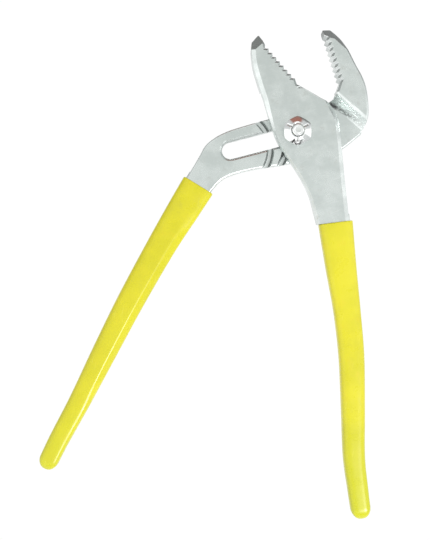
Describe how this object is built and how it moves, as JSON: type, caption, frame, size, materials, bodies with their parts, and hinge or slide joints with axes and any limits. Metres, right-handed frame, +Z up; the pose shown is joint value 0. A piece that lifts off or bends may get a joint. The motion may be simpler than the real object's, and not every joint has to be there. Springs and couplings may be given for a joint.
{
  "type": "tongue and groove pliers",
  "caption": "Slip-joint pliers with wide angled toothed jaws, a slotted multi-position pivot with curved grooves, and two long dipped handles, lying flat with the jaws open.",
  "frame": {"origin": "centre of the bounding box's bottom face, on the bench under the pliers", "axes": "+Z up from the bench towards the nut, +Y along the pliers towards the jaws, +X towards the moving jaw's side"},
  "size_m": [0.1728, 0.2554, 0.0206],
  "materials": {
    "forging": "satin nickel-chrome plate over polished forged steel",
    "fastener": "bright plated and slightly scuffed",
    "grip": "semi-gloss dipped PVC in bright yellow"
  },
  "bodies": {
    "groove_side": {"groove_jaw_handle": "forging", "groove_handle_grip": "grip"},
    "pivot": {"pivot_bolt": "fastener", "pivot_nut": "fastener"},
    "tongue_side": {"tongue_jaw_handle": "forging", "tongue_handle_grip": "grip"}
  },
  "joints": [
    {"name": "slot_slide", "type": "slide", "parent": "groove_side", "child": "pivot", "axis": [-0.9681, -0.2504, 0], "range_m": [0, 0.034]},
    {"name": "jaw_hinge", "type": "hinge", "parent": "pivot", "child": "tongue_side", "pos_m": [0.04775, 0.07409, 0.01135], "axis": [0, 0, 1], "range_deg": [-34, 15]}
  ]
}
